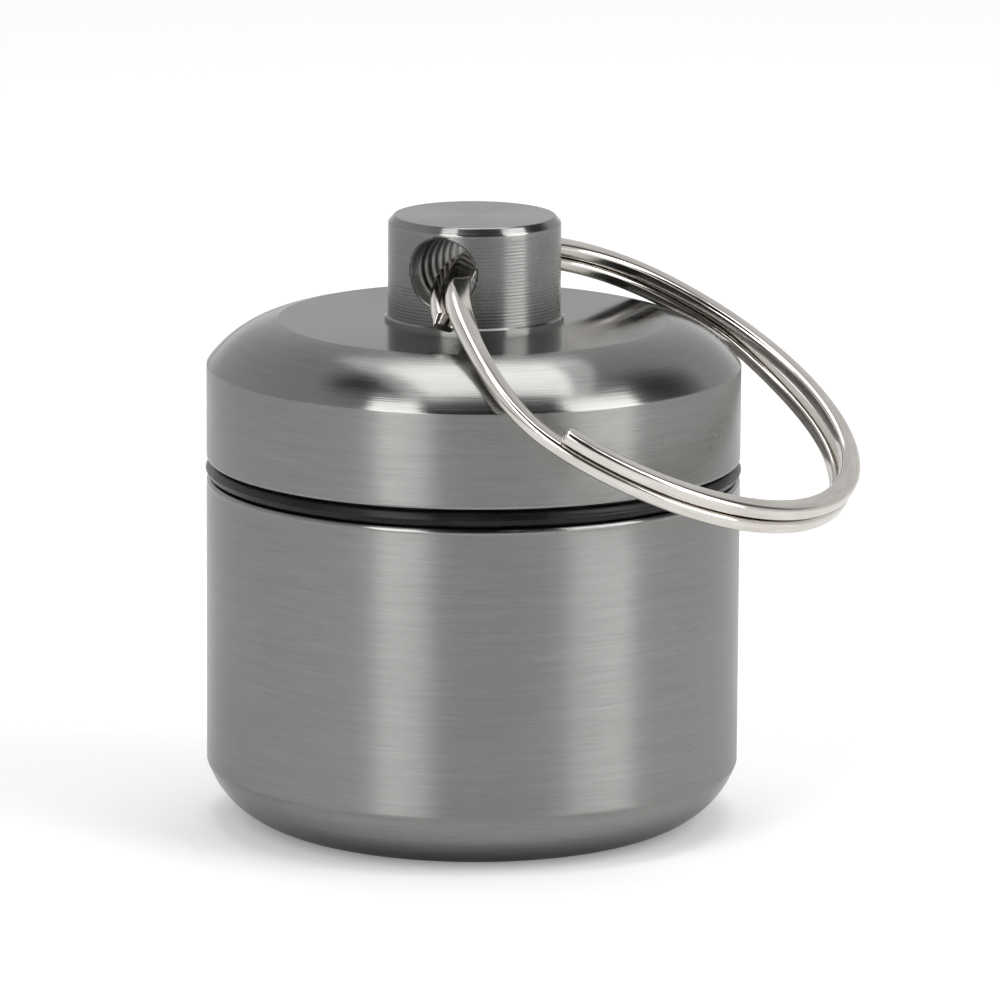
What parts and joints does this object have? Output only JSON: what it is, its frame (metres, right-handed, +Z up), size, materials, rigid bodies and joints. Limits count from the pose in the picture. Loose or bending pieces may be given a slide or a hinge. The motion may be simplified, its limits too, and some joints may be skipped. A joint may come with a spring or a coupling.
{
  "type": "pill fob keychain",
  "caption": "Small turned metal pill canister with a screw-on cap, a rubber seal at the seam and a split ring through a cross-drilled boss on top, for carrying pills on a key ring.",
  "frame": {"origin": "centre of the flat base face that the canister stands on", "axes": "+Z up along the canister's axis, +Y along the cross bore in the boss, +X towards the side that the split ring lies on at rest"},
  "size_m": [0.0334, 0.027, 0.031],
  "materials": {
    "canister_metal": "satin turned",
    "cap_metal": "satin turned",
    "seal_rubber": "smooth matt",
    "ring_plating": "polished nickel plate on spring steel"
  },
  "bodies": {
    "canister": {"canister_body": "canister_metal"},
    "seal": {"o_ring": "seal_rubber"},
    "cap": {"screw_cap": "cap_metal"},
    "ring": {"split_ring": "ring_plating"}
  },
  "joints": [
    {"name": "cap_turn", "type": "hinge", "parent": "canister", "child": "seal", "pos_m": [0, 0, 0], "axis": [0, 0, 1], "range_deg": [0, 1440]},
    {"name": "cap_lift", "type": "slide", "parent": "seal", "child": "cap", "axis": [0, 0, 1], "range_m": [0, 0.006]},
    {"name": "ring_swing", "type": "hinge", "parent": "cap", "child": "ring", "pos_m": [0, 0, 0.02875], "axis": [0, -1, 0], "range_deg": [0, 228]}
  ],
  "couplings": [
    {"joint": "cap_lift", "follows": "cap_turn", "m_per_rad": 0.00023873}
  ]
}
